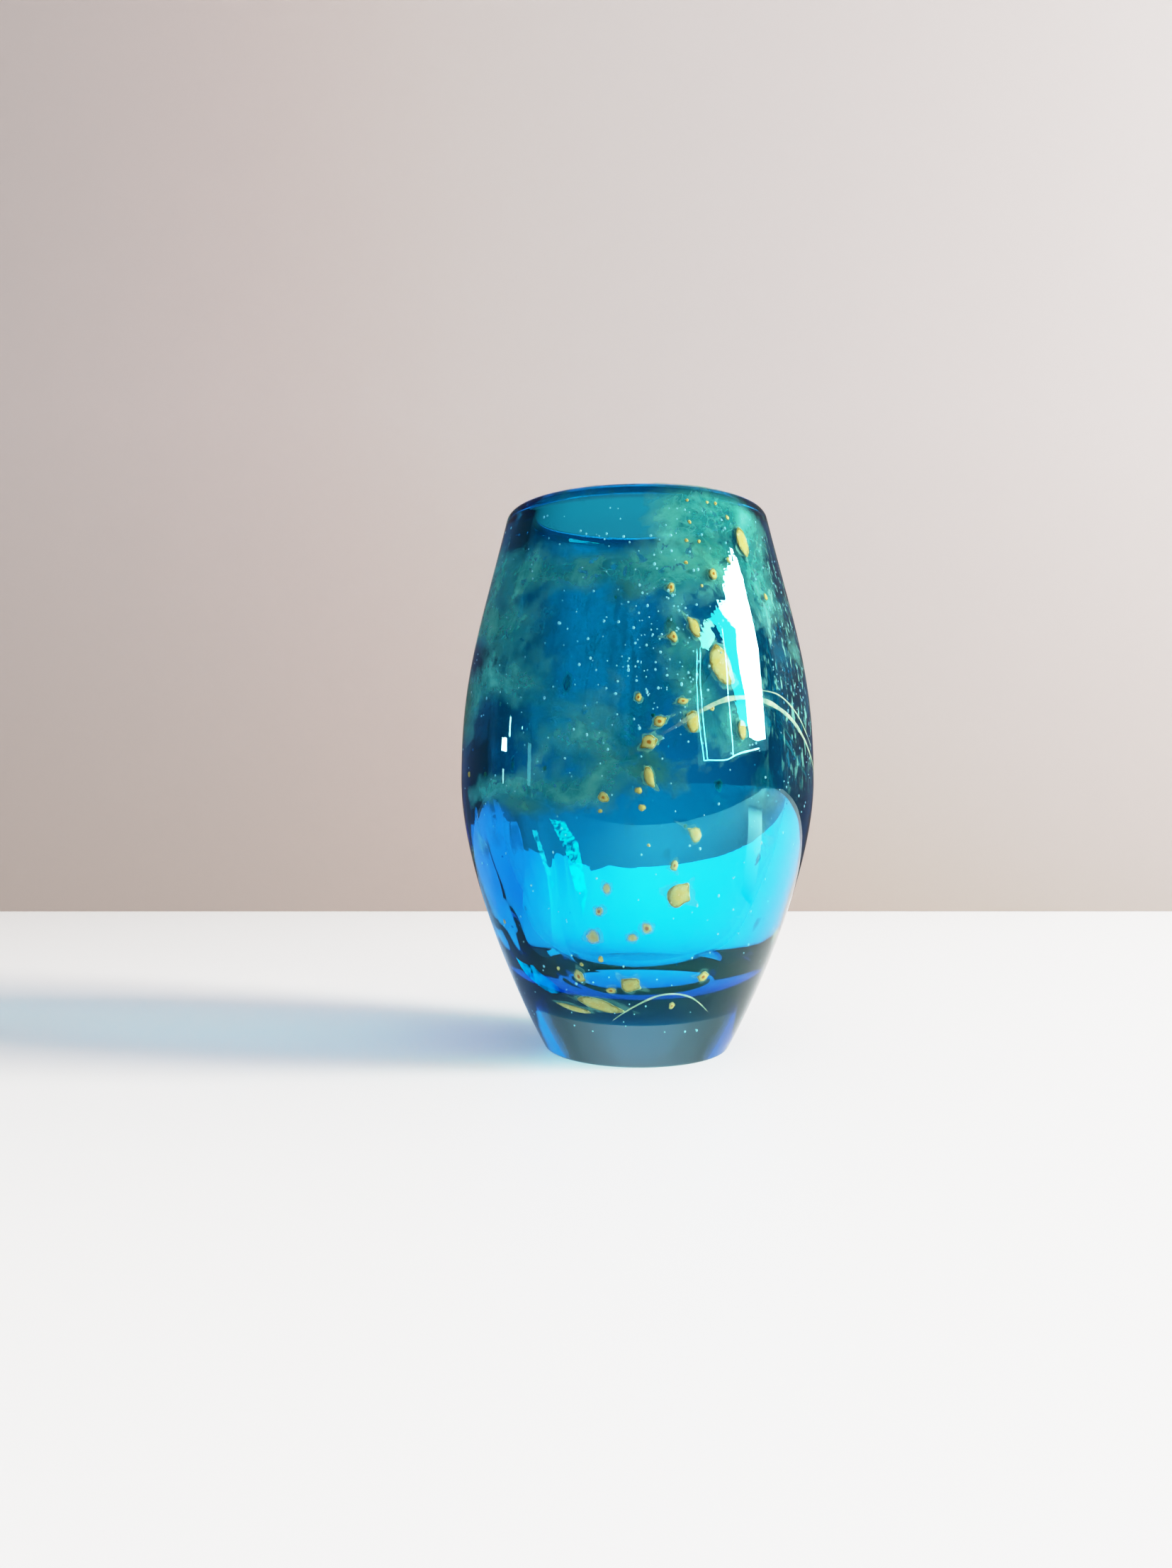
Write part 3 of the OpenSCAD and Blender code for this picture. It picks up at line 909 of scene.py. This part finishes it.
# Where the bubbles crowd: azimuth, height in millimetres, their spreads, and how many.
BUBBLE_CROWDS = [(3, 128, 10, 16, 140), (-40, 120, 26, 30, 70), (30, 110, 22, 24, 90), (60, 120, 16, 30, 90),
                 (0, 40, 60, 22, 90), (180, 110, 60, 34, 150), (10, 166, 50, 7, 50)]


def bubble(centre, radius, stretch):
    """A small round bubble, as rings of points."""
    x, y, middle = centre
    angles = np.linspace(0, 2 * math.pi, BUBBLE_SIDES, endpoint=False)
    rings = []
    for tilt in np.linspace(-math.pi / 2, math.pi / 2, BUBBLE_RINGS + 1):
        r, z = radius * math.cos(tilt), middle + radius * stretch * math.sin(tilt)
        at = angles if r > ON_AXIS else angles[:1]
        rings.append(np.stack([x + r * np.cos(at), y + r * np.sin(at), np.full(len(at), z)], axis=-1))
    return skin(rings)


def make_bubbles():
    rng = random.Random(BUBBLE_SEED)
    parts = []
    for azimuth, h, turn_spread, rise_spread, count in BUBBLE_CROWDS:
        for _ in range(count):
            a = rng.gauss(azimuth, turn_spread)
            up = min(max(rng.gauss(h, rise_spread), BUBBLE_LOW), BUBBLE_HIGH)
            radius = BUBBLE_LEAST + BUBBLE_MORE * rng.random() ** 3
            centre = wall_points(a, up * MM, rng.uniform(*BUBBLE_DEPTHS) * MM)
            parts.append(bubble(centre, radius * MM, rng.uniform(*STRETCHES)))
    points, faces = joined(parts)
    make_piece("seed_bubbles", points, faces, bubble_material())


# ------------------------ stage: the table and the wall
STAGE_HALF = 2.0
TABLE_BACK = 0.389
TABLE_FRONT = -0.285
TABLE_Z = -0.0002
WALL_TOP = 2.4
TABLE_PAINT = (0.92, 0.92, 0.91)
# The wall low down, with painted shade, and its paint higher up.
WALL_LOW_SHADED = (0.315, 0.262, 0.235)
WALL_HIGH_PAINT = (0.385, 0.335, 0.322)
# Painted shadow: the vase's shadow, as its glass gathers it from the table.
SHADOW_BLUE = (0.20, 0.42, 0.70)
# Painted light: the glow that the glass gathers from the table beyond its paint: how bright, its painted
# shadow tint on the left, and how far to each side it reaches.
TABLE_GLOW = 2.6
GLOW_SHADOW_TINT = (0.12, 0.26, 0.5)
GLOW_HALF = 0.3
GLOW_FADE = 0.3
# Painted light: the same from the wall, up from the table: a bluer daylight.
WALL_GLOW_TOP = 0.4
WALL_GLOW = [(0.05, (0.55, 0.85, 1.15)), (0.25, (0.1, 0.42, 0.85)), (0.35, (0.0, 0.14, 0.32)),
             (0.60, (0.0, 0.20, 0.36)), (0.70, (0.0, 0.55, 0.66)), (0.82, (0.0, 0.55, 0.66)),
             (0.95, (0.0, 0.10, 0.15))]


def flat_piece(name, corners, material, hidden_from=()):
    """A flat piece of the stage, with one face, which some kinds of ray don't meet."""
    piece = mesh_piece(name, corners, [range(len(corners))], material)
    hide(piece, hidden_from)


def hide(piece, kinds):
    for kind in kinds:
        setattr(piece, f"visible_{kind}", False)


def table_material():
    """Pale laminate. In the glass it has painted light and shade: a painted glow that makes it over-bright,
    as a window-lit table is, and a painted shadow, blue where the vase's shadow lies.
    """
    material, tree = new_material("table_white")
    path, at = light_path(tree), axes(tree)
    laminate = shader(tree, "BsdfPrincipled", {"Base Color": (*TABLE_PAINT, 1), "Roughness": 0.5})
    # Painted shadow: to the glass the table turns blue on its left.
    right = ranged(tree, at["X"], -0.12, 0.02)
    shadowed = shader(tree, "BsdfDiffuse", {"Color": blend(tree, right, SHADOW_BLUE, TABLE_PAINT)})
    by_glass = larger(tree, path["Is Transmission Ray"], path["Is Glossy Ray"])
    paint = mixed(tree, by_glass, laminate, shadowed)
    # Painted glow: the glass gathers the table glowing near the vase.
    within = ranged(tree, calculate(tree, "ABSOLUTE", at["X"]), GLOW_HALF + GLOW_FADE, GLOW_HALF)
    gathered = product(tree, path["Is Transmission Ray"], within)
    # Painted sheen: the glass mirrors the table's near side glowing on the right.
    mirrored = product(tree, path["Is Glossy Ray"], ranged(tree, at["Y"], -0.10, -0.20))
    mirrored = product(tree, mirrored, ranged(tree, at["X"], -0.15, 0.0))
    tint = blend(tree, right, GLOW_SHADOW_TINT, (1, 1, 1))
    glow = shader(tree, "Emission", {"Color": tint, "Strength": TABLE_GLOW})
    lit = shader(tree, "AddShader", {0: paint, 1: glow})
    return finished(material, mixed(tree, larger(tree, gathered, mirrored), paint, lit))


def wall_material():
    """Painted plaster, with painted shade that makes it darker and warmer towards the table and darker to
    the right. The glass mirrors it dimmed by painted shade, and gathers a painted glow of daylight on it."""
    material, tree = new_material("wall_grey")
    path, at = light_path(tree), axes(tree)
    aside = calculate(tree, "ABSOLUTE", at["X"])
    # Painted shade: darker and warmer towards the table.
    tone = blend(tree, ranged(tree, at["Z"], 0.0, 0.35), WALL_LOW_SHADED, WALL_HIGH_PAINT)
    # Painted shade: darker to the right.
    tone = blend(tree, ranged(tree, at["X"], -0.1, 0.4, 0.0, 0.14), tone, (0, 0, 0))
    paint = shader(tree, "BsdfPrincipled", {"Base Color": tone, "Roughness": 0.9})
    # Painted light: through the glass the wall glows with bluer daylight, most near the middle.
    glow = shader(tree, "Emission", {
        "Color": ramp(tree, ranged(tree, at["Z"], 0.0, WALL_GLOW_TOP), WALL_GLOW),
        "Strength": ranged(tree, aside, 0.30, 0.14, 0.25, 1.0)})
    lit = shader(tree, "AddShader", {0: paint, 1: glow})
    seen = mixed(tree, path["Is Transmission Ray"], paint, lit)
    # Painted shade: the glass mirrors the wall dimmed towards black, the more the farther to the side.
    dim = product(tree, path["Is Glossy Ray"], ranged(tree, aside, 0.05, 0.2, 0.55, 0.85))
    return finished(material, mixed(tree, dim, seen, shader(tree, "Emission", {"Strength": 0.0})))


def spanning(start, end):
    """A rectangle across the stage, between two places along y and z."""
    s = STAGE_HALF
    return [(-s, *start), (s, *start), (s, *end), (-s, *end)]


def make_stage():
    table, wall = table_material(), wall_material()
    near, far = (TABLE_FRONT, TABLE_Z), (TABLE_BACK, TABLE_Z)
    flat_piece("table", spanning(near, far), table)
    flat_piece("wall", spanning(far, (TABLE_BACK, WALL_TOP)), wall)
    flat_piece("floor_beyond", spanning((-STAGE_HALF, TABLE_Z), near), table, ("glossy", "diffuse"))


# ------------------------ stage: what the glass mirrors
# The window on the right, as places along y and z. The foliage outside gives it teeth between two of
# its corners, and what else is bright lies a few steps behind it.
WINDOW_X = 2.0
PANE_STEP = 0.01
PANE = [(-0.18, 0.31), (-0.17, 0.56), (-0.12, 0.74), (-0.03, 0.90), (-0.01, 1.05), (-0.03, 1.26),
        (-0.07, 1.36), (-0.16, 1.40), (-0.40, 1.45), (-0.62, 1.49), (-0.88, 1.48), (-1.08, 1.52),
        (-0.98, 1.42), (-0.64, 1.18), (-0.74, 1.04), (-0.76, 0.84), (-0.70, 0.63), (-0.71, 0.45),
        (-0.66, 0.35), (-0.46, 0.31)]
PANE_TEETH = (7, 14)
PANE_RADIANCE = 260.0
# The foliage: an outline, the step and size of its teeth, a radiance and a colour.
FOLIAGE = {
    "pane_leaves": (
        [(-0.62, 0.45), (-0.66, 0.90), (-0.60, 1.25), (-1.00, 1.50), (-1.35, 1.60), (-1.60, 1.66),
         (-1.33, 1.48), (-1.14, 1.24), (-1.15, 1.00), (-1.06, 0.70), (-0.92, 0.45)],
        0.06, 0.04, 34.0, (0.15, 0.85, 0.9)),
    "pane_far": (
        [(-1.50, 1.46), (-1.52, 1.62), (-1.82, 1.75), (-2.14, 1.74), (-2.12, 1.58), (-1.80, 1.42)],
        0.05, 0.08, 60.0, (1.0, 0.9, 0.6)),
}
ROOM_PANE = (-2.9, -0.1, 0.25, 1.15)
ROOM_RADIANCE = 1.2
# The gaps beside the blinds, each a path and a breadth, and the sill under them.
GAPS = [
    ([(-1.12, 1.35), (-1.18, 1.09), (-1.28, 0.76), (-1.28, 0.51), (-1.23, 0.26)], 0.035),
    ([(-2.24, 1.62), (-2.46, 1.24), (-2.47, 0.85), (-2.42, 0.51), (-2.30, 0.27)], 0.045),
    ([(-2.45, 1.70), (-2.68, 1.30), (-2.73, 0.90), (-2.67, 0.54), (-2.49, 0.28)], 0.045),
]
SILL = [(-2.45, 0.275), (-1.89, 0.253), (-1.44, 0.242), (-1.09, 0.256), (-0.75, 0.256), (-0.39, 0.260)]
SILL_BREADTH = 0.010
BLINDS_RADIANCE = 110.0
# Small bright things on the left: from and to along y and up z, and a radiance.
LEFT_PANES = [(0.05, 0.21, 0.24, 0.31, 200.0), (-0.06, -0.02, 0.33, 0.45, 50.0),
              (-0.44, -0.40, 0.39, 0.41, 40.0), (-0.70, -0.60, 0.0, 0.32, 5.0),
              (0.12, 0.16, 0.05, 0.15, 20.0)]
# Light that lies on the table, as places along x and y, counterclockwise. The glass mirrors it.
PATCH_Z = 0.001
# The sunlit streak towards the window fades as it nears the vase, and at its far end.
SUN_PATCH = [(0.13, -0.06), (0.52, -0.21), (0.52, -0.10), (0.13, -0.03)]
SUN_RADIANCE = 16.0
# The light that the vase throws at its left, with its colour and radiance.
THROWN = [
    ([(-0.26, -0.128), (-0.17, -0.105), (-0.115, -0.088), (-0.115, -0.083), (-0.17, -0.094), (-0.27, -0.112)],
     (0.05, 0.75, 1.0), 20.0),
    ([(-0.22, -0.222), (-0.13, -0.178), (-0.068, -0.112), (-0.062, -0.090), (-0.14, -0.145), (-0.28, -0.200)],
     (0.0, 0.9, 1.0), 28.0),
    ([(-0.090, 0.026), (-0.078, -0.012), (-0.062, -0.028), (-0.047, -0.038), (-0.054, -0.026),
      (-0.066, -0.010), (-0.078, 0.010)], (0.0, 0.40, 1.0), 10.0),
]


def rectangle(y_from, y_to, z_from, z_to):
    return [(y_from, z_from), (y_to, z_from), (y_to, z_to), (y_from, z_to)]


def ribbon(path, across_y, across_z):
    """A narrow band that starts at each place of a path and is this far across."""
    return path + [(y + across_y, z + across_z) for y, z in path[::-1]]


def ragged(corners, rng, step, size):
    """The same edge with small teeth, which lean up and to the left."""
    outline = []
    for (y, z), (next_y, next_z) in zip(corners, corners[1:]):
        count = max(1, round(math.hypot(next_y - y, next_z - z) / step))
        for k in range(count):
            t = k / count
            out = size * (1 if k % 2 else -1) * rng.uniform(0.4, 1.6)
            outline.append((y + t * (next_y - y) - out, z + t * (next_z - z) + 0.7 * out))
    return outline + corners[-1:]


def mirrored_piece(name, corners, material):
    """A bright thing that only the glass mirrors. It lights nothing: the lamps do."""
    flat_piece(name, corners, material, ("camera", "diffuse", "transmission", "shadow", "volume_scatter"))


def mirrored_pane(name, x, corners, radiance, colour=(1, 1, 1)):
    """An upright bright shape; corners are places along y and z."""
    material, tree = new_material(name)
    light = shader(tree, "Emission", {"Color": (*colour, 1), "Strength": radiance})
    mirrored_piece(name, [(x, y, z) for y, z in corners], finished(material, light))


def table_patch(name, places, colour, strength_in):
    """Light on the table, seen only from above, so that the table's own gloss doesn't show it.
    strength_in gives its strength in a node tree."""
    material, tree = new_material(name)
    light = shader(tree, "Emission", {"Color": (*colour, 1), "Strength": strength_in(tree)})
    below = add(tree, "ShaderNodeNewGeometry").outputs["Backfacing"]
    upper = mixed(tree, below, light, shader(tree, "BsdfTransparent"))
    mirrored_piece(name, [(x, y, PATCH_Z) for x, y in places], finished(material, upper))


def sun_strength(tree):
    x = axes(tree)["X"]
    return product(tree, ranged(tree, x, 0.13, 0.34, 0.0, SUN_RADIANCE), ranged(tree, x, 0.52, 0.38))


def streaks(tree, radiance):
    return ranged(tree, noise(tree, 55.0, 3.0, 1.2), 0.38, 0.62, 0.0, radiance)


def make_table_patches():
    table_patch("sun_patch", SUN_PATCH, (1, 1, 1), sun_strength)
    for k, (places, colour, radiance) in enumerate(THROWN):
        table_patch(f"thrown_light_{k + 1}", places, colour, lambda tree: streaks(tree, radiance))


def make_panes():
    rng = random.Random(SEED)
    first, last = PANE_TEETH
    edge = PANE[:first] + ragged(PANE[first:last], rng, 0.05, 0.06) + PANE[last:]
    mirrored_pane("pane_bright", WINDOW_X, edge, PANE_RADIANCE)
    make_table_patches()
    for name, (outline, step, size, radiance, colour) in FOLIAGE.items():
        mirrored_pane(name, WINDOW_X + 2 * PANE_STEP, ragged(outline, rng, step, size), radiance, colour)
    mirrored_pane("pane_room", WINDOW_X + 4 * PANE_STEP, rectangle(*ROOM_PANE), ROOM_RADIANCE)
    blinds_x = WINDOW_X + PANE_STEP
    for k, (path, breadth) in enumerate(GAPS):
        mirrored_pane(f"pane_gap_{k + 1}", blinds_x, ribbon(path, breadth, 0.0), BLINDS_RADIANCE)
    mirrored_pane("pane_sill", blinds_x, ribbon(SILL, 0.0, SILL_BREADTH), BLINDS_RADIANCE)
    for k, (*extent, radiance) in enumerate(LEFT_PANES):
        mirrored_pane(f"pane_left_{k + 1}", -WINDOW_X, rectangle(*extent), radiance)


# ------------------------ stage: lamps, room, camera
# The window's lamps: a middle along y and z, a width, a height and a radiance.
WINDOW_LAMPS = {"window_pane": (-0.40, 0.93, 0.52, 1.24, 72.0), "window_side": (0.50, 0.93, 0.80, 1.24, 4.0)}
# Daylight off the ceiling, most of it on the near side of the table.
CEILING_AT = (0.2, -0.7, 1.4)
CEILING_SIZE = 1.0
CEILING_POWER = 6.0
# The dark room that the glass mirrors, from left to right.
ROOM_LEFT = (0.008, 0.03, 0.10)
ROOM_RIGHT = (0.06, 0.09, 0.14)
# The soft light that falls on everything, from below and from above.
SOFT_LOW = (0.20, 0.19, 0.18)
SOFT_HIGH = (0.60, 0.56, 0.54)
SEEN_BEYOND = (0.6, 0.55, 0.53)
CAMERA_AT = (-0.0171, -0.370, 0.0889)
LENS = 24.93
# The film: how much light is white, and places on its curve.
FILM_WHITE = 2.5
FILM_CURVE = [(0.2, 0.5), (0.28, 0.66), (0.52, 0.87), (0.92, 0.97)]


def lamp(name, at, width, tall, power):
    """A lit rectangle that glass doesn't mirror and that isn't seen."""
    light = bpy.data.lights.new(name, "AREA")
    light.shape = "RECTANGLE"
    light.size = width
    light.size_y = tall
    light.energy = power
    panel = place(name, light)
    panel.location = at
    hide(panel, ("glossy", "transmission", "camera"))
    return panel


def make_window_lamps():
    for name, (y, z, width, tall, radiance) in WINDOW_LAMPS.items():
        pane = lamp(name, (WINDOW_X, y, z), width, tall, radiance * math.pi * width * tall)
        pane.rotation_euler = (math.pi / 2, 0, math.pi / 2)


def make_room():
    world = bpy.data.worlds.new("room")
    world.use_nodes = True
    tree = world.node_tree
    tree.nodes.clear()
    path, at = light_path(tree), axes(tree, "Generated")
    mirrored = blend(tree, ranged(tree, at["X"], 0.0, 1.0), ROOM_LEFT, ROOM_RIGHT)
    soft = blend(tree, ranged(tree, at["Z"], -0.1, 0.9), SOFT_LOW, SOFT_HIGH)
    colour = blend(tree, path["Is Diffuse Ray"], mirrored, soft)
    colour = blend(tree, path["Is Camera Ray"], colour, SEEN_BEYOND)
    add(tree, "ShaderNodeOutputWorld", {"Surface": shader(tree, "Background", {"Color": colour})})
    bpy.context.scene.world = world


def make_camera():
    data = bpy.data.cameras.new("camera")
    data.lens = LENS
    data.clip_start = 0.01
    camera = place("camera", data)
    camera.location = CAMERA_AT
    camera.rotation_euler = (math.radians(90), 0, 0)
    bpy.context.scene.camera = camera


def set_view():
    scene = bpy.context.scene
    view = scene.view_settings
    view.view_transform = "Standard"
    view.use_curve_mapping = True
    curves = view.curve_mapping
    curves.white_level = (FILM_WHITE, FILM_WHITE, FILM_WHITE)
    points = curves.curves[3].points
    for x, y in FILM_CURVE:
        points.new(x, y)
    curves.update()
    scene.cycles.max_bounces = 32
    scene.cycles.transmission_bounces = 32
    scene.cycles.glossy_bounces = 12
    scene.cycles.transparent_max_bounces = 64
    scene.cycles.caustics_reflective = False
    scene.cycles.caustics_refractive = False


# ------------------------ the whole
make_camera()
make_stage()
make_window_lamps()
make_panes()
lamp("ceiling", CEILING_AT, CEILING_SIZE, CEILING_SIZE, CEILING_POWER)
make_room()
set_view()
make_casing()
make_body()
make_all_chips()
make_veils()
make_trails()
make_bubbles()
